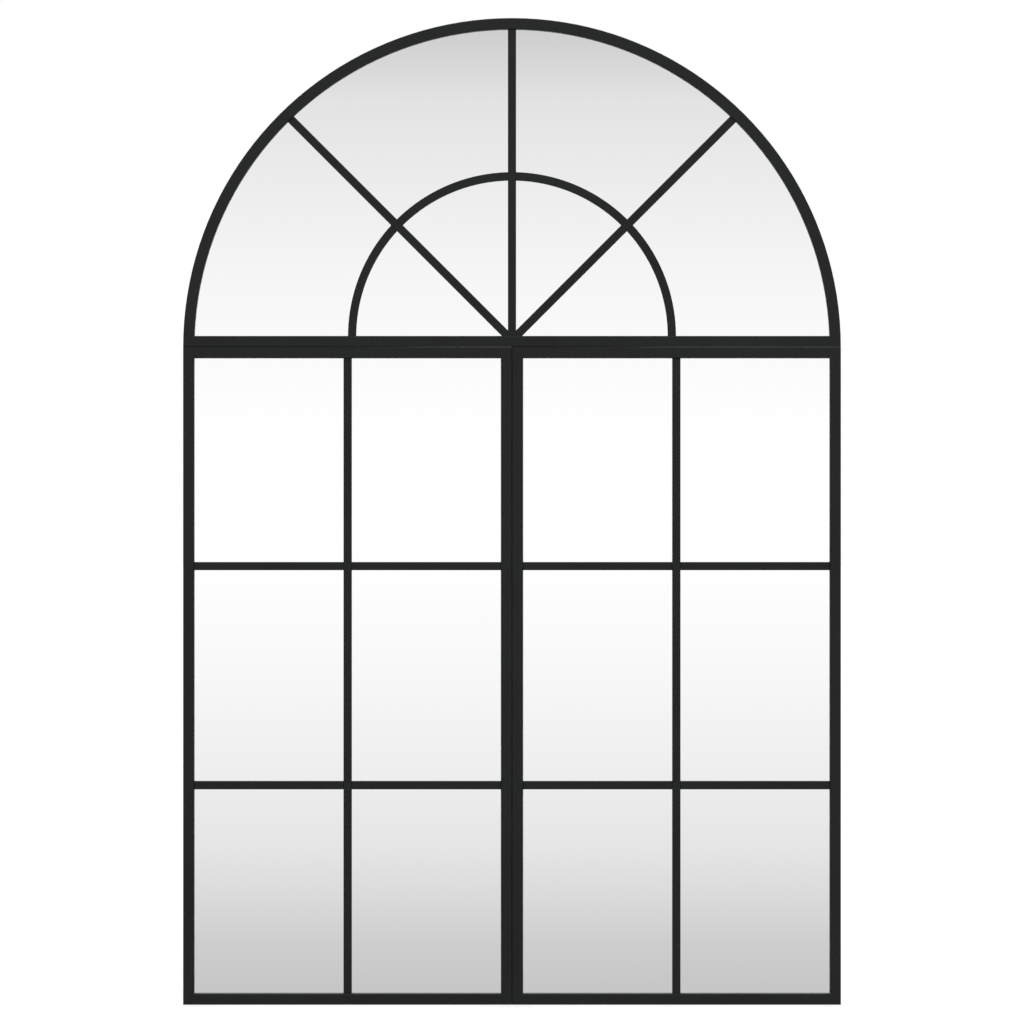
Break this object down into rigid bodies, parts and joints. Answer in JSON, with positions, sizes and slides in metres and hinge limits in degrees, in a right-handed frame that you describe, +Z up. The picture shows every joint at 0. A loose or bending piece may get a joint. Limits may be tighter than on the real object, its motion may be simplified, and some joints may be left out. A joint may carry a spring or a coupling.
{
  "type": "arched window mirror",
  "caption": "Wall mirror shaped like a round-headed window: an arch with a sunburst of glazing bars over two tall side-by-side frames, hung by keyhole plates.",
  "frame": {"origin": "on the wall plane, in the middle of the width, level with the underside of the lower frames", "axes": "+Z up the height, +Y from the glass towards the wall, +X to the right of a person facing the mirror"},
  "size_m": [1, 0.0225, 1.5],
  "materials": {
    "powder_coated_steel": "charcoal black satin powder coat",
    "silvered_glass": "4 mm float glass, silvered on the back",
    "fibreboard": "raw medium-density fibreboard",
    "zinc_plated_steel": "bright zinc plate",
    "moulded_nylon": "black moulded nylon",
    "rubber": "dark grey rubber"
  },
  "bodies": {
    "mirror_frame": {"arch_bow": "powder_coated_steel", "arch_rail": "powder_coated_steel", "fan_center_spoke": "powder_coated_steel", "fan_left_spoke": "powder_coated_steel", "fan_right_spoke": "powder_coated_steel", "fan_ring_left_lower": "powder_coated_steel", "fan_ring_left_upper": "powder_coated_steel", "fan_ring_right_upper": "powder_coated_steel", "fan_ring_right_lower": "powder_coated_steel", "arch_mirror": "silvered_glass", "arch_backboard": "fibreboard", "left_panel_bottom_rail": "powder_coated_steel", "left_panel_top_rail": "powder_coated_steel", "left_panel_outer_stile": "powder_coated_steel", "left_panel_inner_stile": "powder_coated_steel", "left_panel_upright_bar": "powder_coated_steel", "left_panel_crossbar_1_outer": "powder_coated_steel", "left_panel_crossbar_1_inner": "powder_coated_steel", "left_panel_crossbar_2_outer": "powder_coated_steel", "left_panel_crossbar_2_inner": "powder_coated_steel", "left_panel_mirror": "silvered_glass", "left_panel_backboard": "fibreboard", "right_panel_bottom_rail": "powder_coated_steel", "right_panel_top_rail": "powder_coated_steel", "right_panel_outer_stile": "powder_coated_steel", "right_panel_inner_stile": "powder_coated_steel", "right_panel_upright_bar": "powder_coated_steel", "right_panel_crossbar_1_outer": "powder_coated_steel", "right_panel_crossbar_1_inner": "powder_coated_steel", "right_panel_crossbar_2_outer": "powder_coated_steel", "right_panel_crossbar_2_inner": "powder_coated_steel", "right_panel_mirror": "silvered_glass", "right_panel_backboard": "fibreboard", "joining_plate_center": "zinc_plated_steel", "joining_screw_center_arch": "zinc_plated_steel", "joining_screw_center_left": "zinc_plated_steel", "joining_screw_center_right": "zinc_plated_steel", "joining_plate_left": "zinc_plated_steel", "joining_screw_left_upper": "zinc_plated_steel", "joining_screw_left_lower": "zinc_plated_steel", "joining_plate_right": "zinc_plated_steel", "joining_screw_right_upper": "zinc_plated_steel", "joining_screw_right_lower": "zinc_plated_steel", "joining_plate_stiles": "zinc_plated_steel", "joining_screw_stiles_left": "zinc_plated_steel", "joining_screw_stiles_right": "zinc_plated_steel", "hanger_plate_left": "powder_coated_steel", "hanger_plate_right": "powder_coated_steel", "wall_bumper_left": "rubber", "wall_bumper_right": "rubber"},
    "arch_left_button": {"turn_button_arch_left": "moulded_nylon"},
    "arch_crown_button": {"turn_button_arch_crown": "moulded_nylon"},
    "arch_right_button": {"turn_button_arch_right": "moulded_nylon"},
    "left_panel_outer_button": {"turn_button_left_panel_outer": "moulded_nylon"},
    "left_panel_inner_button": {"turn_button_left_panel_inner": "moulded_nylon"},
    "left_panel_top_button": {"turn_button_left_panel_top": "moulded_nylon"},
    "right_panel_outer_button": {"turn_button_right_panel_outer": "moulded_nylon"},
    "right_panel_inner_button": {"turn_button_right_panel_inner": "moulded_nylon"},
    "right_panel_top_button": {"turn_button_right_panel_top": "moulded_nylon"}
  },
  "joints": [
    {"name": "arch_left_swivel", "type": "hinge", "parent": "mirror_frame", "child": "arch_left_button", "pos_m": [-0.3767, -0.006, 1.31609], "axis": [0, 1, 0], "range_deg": [-90, 90]},
    {"name": "arch_crown_swivel", "type": "hinge", "parent": "mirror_frame", "child": "arch_crown_button", "pos_m": [0, -0.006, 1.49175], "axis": [0, 1, 0], "range_deg": [-90, 90]},
    {"name": "arch_right_swivel", "type": "hinge", "parent": "mirror_frame", "child": "arch_right_button", "pos_m": [0.3767, -0.006, 1.31609], "axis": [0, 1, 0], "range_deg": [-90, 90]},
    {"name": "left_panel_outer_swivel", "type": "hinge", "parent": "mirror_frame", "child": "left_panel_outer_button", "pos_m": [-0.49175, -0.006, 0.5], "axis": [0, 1, 0], "range_deg": [-90, 90]},
    {"name": "left_panel_inner_swivel", "type": "hinge", "parent": "mirror_frame", "child": "left_panel_inner_button", "pos_m": [-0.0084, -0.006, 0.5], "axis": [0, 1, 0], "range_deg": [-90, 90]},
    {"name": "left_panel_top_swivel", "type": "hinge", "parent": "mirror_frame", "child": "left_panel_top_button", "pos_m": [-0.25007, -0.006, 0.99145], "axis": [0, 1, 0], "range_deg": [-90, 90]},
    {"name": "right_panel_outer_swivel", "type": "hinge", "parent": "mirror_frame", "child": "right_panel_outer_button", "pos_m": [0.49175, -0.006, 0.5], "axis": [0, 1, 0], "range_deg": [-90, 90]},
    {"name": "right_panel_inner_swivel", "type": "hinge", "parent": "mirror_frame", "child": "right_panel_inner_button", "pos_m": [0.0084, -0.006, 0.5], "axis": [0, 1, 0], "range_deg": [-90, 90]},
    {"name": "right_panel_top_swivel", "type": "hinge", "parent": "mirror_frame", "child": "right_panel_top_button", "pos_m": [0.25007, -0.006, 0.99145], "axis": [0, 1, 0], "range_deg": [-90, 90]}
  ]
}
